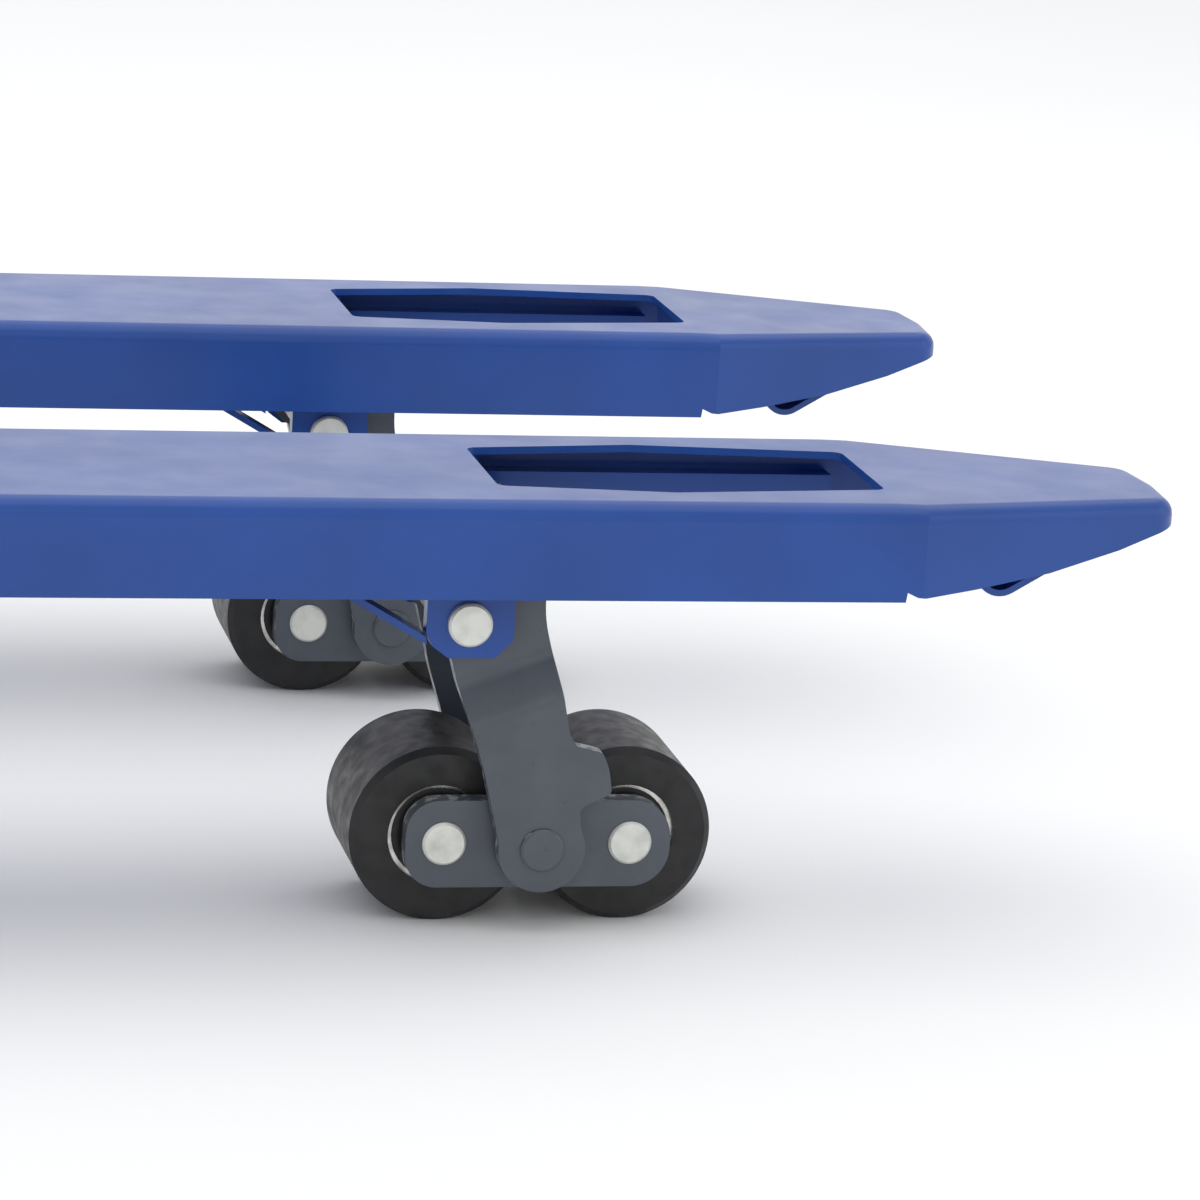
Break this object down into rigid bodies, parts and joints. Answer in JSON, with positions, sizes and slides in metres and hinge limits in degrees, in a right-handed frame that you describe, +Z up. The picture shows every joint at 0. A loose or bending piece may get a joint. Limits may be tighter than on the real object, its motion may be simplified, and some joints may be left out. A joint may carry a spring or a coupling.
{
  "type": "hand pallet truck",
  "caption": "Hand pallet truck with raised forks on linked load rollers, a steered pump unit, a tilting tiller and a loop handle.",
  "frame": {"origin": "centre of the footprint of the overall box, on the floor, with the forks raised", "axes": "+X towards the fork tips, +Y to the left seen from behind the handle, +Z up"},
  "size_m": [1.55, 0.55, 1.21],
  "materials": {
    "blue_paint": "semi-gloss powder coat",
    "grey_paint": "satin paint",
    "zinc_steel": "zinc plated",
    "dark_steel": "primer",
    "roller_black": "moulded",
    "bearing_steel": "ground",
    "pump_black": "painted casting",
    "hard_chrome": "polished",
    "rubber_tread": "matte",
    "hub_cast": "cast",
    "grip_black": "dipped"
  },
  "bodies": {
    "bed": {"bed_plate": "blue_paint", "thrust_bearing": "zinc_steel", "bed_plate_pin": "zinc_steel"},
    "fork_frame": {"fork_left": "blue_paint", "fork_right": "blue_paint", "toe_skids": "blue_paint", "hinge_ears": "blue_paint", "exit_ramps": "blue_paint", "window_bars": "blue_paint", "hinge_pins": "zinc_steel", "heel_plate": "blue_paint", "heel_gussets": "blue_paint", "mast_sides": "blue_paint", "top_cap": "blue_paint", "thrust_seat": "zinc_steel", "ram": "hard_chrome", "rocker_shaft": "zinc_steel"},
    "rocker": {"rocker_tube": "blue_paint", "rocker_straps": "blue_paint", "crank_arms": "blue_paint", "crank_pins": "zinc_steel"},
    "push_rod_left": {"push_rod_left": "dark_steel"},
    "wheel_frame_left": {"wheel_frame_plates_left": "grey_paint", "wheel_frame_pins_left": "grey_paint"},
    "bogie_left": {"bogie_links_left": "grey_paint", "axle_pins_left": "zinc_steel"},
    "roller_left_rear": {"roller_tyre_left_rear": "roller_black", "roller_bearings_left_rear": "bearing_steel"},
    "roller_left_front": {"roller_tyre_left_front": "roller_black", "roller_bearings_left_front": "bearing_steel"},
    "push_rod_right": {"push_rod_right": "dark_steel"},
    "wheel_frame_right": {"wheel_frame_plates_right": "grey_paint", "wheel_frame_pins_right": "grey_paint"},
    "bogie_right": {"bogie_links_right": "grey_paint", "axle_pins_right": "zinc_steel"},
    "roller_right_rear": {"roller_tyre_right_rear": "roller_black", "roller_bearings_right_rear": "bearing_steel"},
    "roller_right_front": {"roller_tyre_right_front": "roller_black", "roller_bearings_right_front": "bearing_steel"},
    "pump": {"pump_base": "pump_black", "lift_cylinder": "pump_black", "reservoir": "pump_black", "plunger_housing": "pump_black", "valve_block": "pump_black", "steer_axle": "zinc_steel", "axle_caps": "zinc_steel", "tiller_pivot_pin": "zinc_steel"},
    "steer_wheel_left": {"steer_tyre_left": "rubber_tread", "steer_hub_left": "hub_cast"},
    "steer_wheel_right": {"steer_tyre_right": "rubber_tread", "steer_hub_right": "hub_cast"},
    "tiller": {"tiller_yoke": "blue_paint", "tiller_tube": "blue_paint", "handle_loop": "grip_black", "cam_roller": "zinc_steel"},
    "plunger": {"plunger": "hard_chrome", "plunger_spring": "zinc_steel"},
    "hand_lever": {"hand_lever": "grip_black"},
    "valve_lever": {"valve_lever": "zinc_steel"}
  },
  "joints": [
    {"name": "fork_lift", "type": "slide", "parent": "bed", "child": "fork_frame", "axis": [0, 0, 1], "range_m": [-0.12, 0]},
    {"name": "rocker_turn", "type": "hinge", "parent": "fork_frame", "child": "rocker", "pos_m": [-0.425, 0, 0.255], "axis": [0, 1, 0], "range_deg": [0, 42.33]},
    {"name": "push_rod_turn_left", "type": "hinge", "parent": "rocker", "child": "push_rod_left", "pos_m": [-0.39979, 0.2, 0.18986], "axis": [0, 1, 0], "range_deg": [-42.33, 0]},
    {"name": "wheel_frame_turn_left", "type": "hinge", "parent": "fork_frame", "child": "wheel_frame_left", "pos_m": [0.439, 0.2, 0.1452], "axis": [0, -1, 0], "range_deg": [0, 78.16]},
    {"name": "bogie_turn_left", "type": "hinge", "parent": "wheel_frame_left", "child": "bogie_left", "pos_m": [0.477, 0.2, 0.041], "axis": [0, -1, 0], "range_deg": [-78.16, 0]},
    {"name": "roller_left_rear_spin", "type": "hinge", "parent": "bogie_left", "child": "roller_left_rear", "pos_m": [0.434, 0.2, 0.041], "axis": [0, 1, 0], "continuous": true},
    {"name": "roller_left_front_spin", "type": "hinge", "parent": "bogie_left", "child": "roller_left_front", "pos_m": [0.52, 0.2, 0.041], "axis": [0, 1, 0], "continuous": true},
    {"name": "push_rod_turn_right", "type": "hinge", "parent": "rocker", "child": "push_rod_right", "pos_m": [-0.39979, -0.2, 0.18986], "axis": [0, 1, 0], "range_deg": [-42.33, 0]},
    {"name": "wheel_frame_turn_right", "type": "hinge", "parent": "fork_frame", "child": "wheel_frame_right", "pos_m": [0.439, -0.2, 0.1452], "axis": [0, -1, 0], "range_deg": [0, 78.16]},
    {"name": "bogie_turn_right", "type": "hinge", "parent": "wheel_frame_right", "child": "bogie_right", "pos_m": [0.477, -0.2, 0.041], "axis": [0, -1, 0], "range_deg": [-78.16, 0]},
    {"name": "roller_right_rear_spin", "type": "hinge", "parent": "bogie_right", "child": "roller_right_rear", "pos_m": [0.434, -0.2, 0.041], "axis": [0, 1, 0], "continuous": true},
    {"name": "roller_right_front_spin", "type": "hinge", "parent": "bogie_right", "child": "roller_right_front", "pos_m": [0.52, -0.2, 0.041], "axis": [0, 1, 0], "continuous": true},
    {"name": "steer", "type": "hinge", "parent": "bed", "child": "pump", "pos_m": [-0.64, 0, 0.2], "axis": [0, 0, 1], "range_deg": [-90, 90]},
    {"name": "steer_wheel_left_spin", "type": "hinge", "parent": "pump", "child": "steer_wheel_left", "pos_m": [-0.64, 0.055, 0.08], "axis": [0, 1, 0], "continuous": true},
    {"name": "steer_wheel_right_spin", "type": "hinge", "parent": "pump", "child": "steer_wheel_right", "pos_m": [-0.64, -0.055, 0.08], "axis": [0, 1, 0], "continuous": true},
    {"name": "tiller_tilt", "type": "hinge", "parent": "pump", "child": "tiller", "pos_m": [-0.7, 0, 0.3], "axis": [0, -1, 0], "range_deg": [0, 75], "stiffness_Nm_per_rad": 22, "springref_deg": -34.38},
    {"name": "plunger_press", "type": "slide", "parent": "pump", "child": "plunger", "axis": [0, 0, -1], "range_m": [0, 0.0366], "deforming": ["plunger_spring"]},
    {"name": "hand_lever_turn", "type": "hinge", "parent": "tiller", "child": "hand_lever", "pos_m": [-0.755, 0, 1.046], "axis": [0, 1, 0], "range_deg": [-12, 12], "stiffness_Nm_per_rad": 1},
    {"name": "valve_lever_turn", "type": "hinge", "parent": "pump", "child": "valve_lever", "pos_m": [-0.64, 0.054, 0.245], "axis": [0, 1, 0], "range_deg": [-12, 12]}
  ],
  "couplings": [
    {"joint": "rocker_turn", "follows": "fork_lift", "rad_per_m": -6.1556},
    {"joint": "push_rod_turn_left", "follows": "fork_lift", "rad_per_m": 6.1556},
    {"joint": "wheel_frame_turn_left", "follows": "fork_lift", "rad_per_m": -11.367},
    {"joint": "bogie_turn_left", "follows": "fork_lift", "rad_per_m": 11.367},
    {"joint": "push_rod_turn_right", "follows": "fork_lift", "rad_per_m": 6.1556},
    {"joint": "wheel_frame_turn_right", "follows": "fork_lift", "rad_per_m": -11.367},
    {"joint": "bogie_turn_right", "follows": "fork_lift", "rad_per_m": 11.367},
    {"joint": "plunger_press", "follows": "tiller_tilt", "m_per_rad": 0.027884},
    {"joint": "valve_lever_turn", "follows": "hand_lever_turn", "ratio": 1}
  ]
}
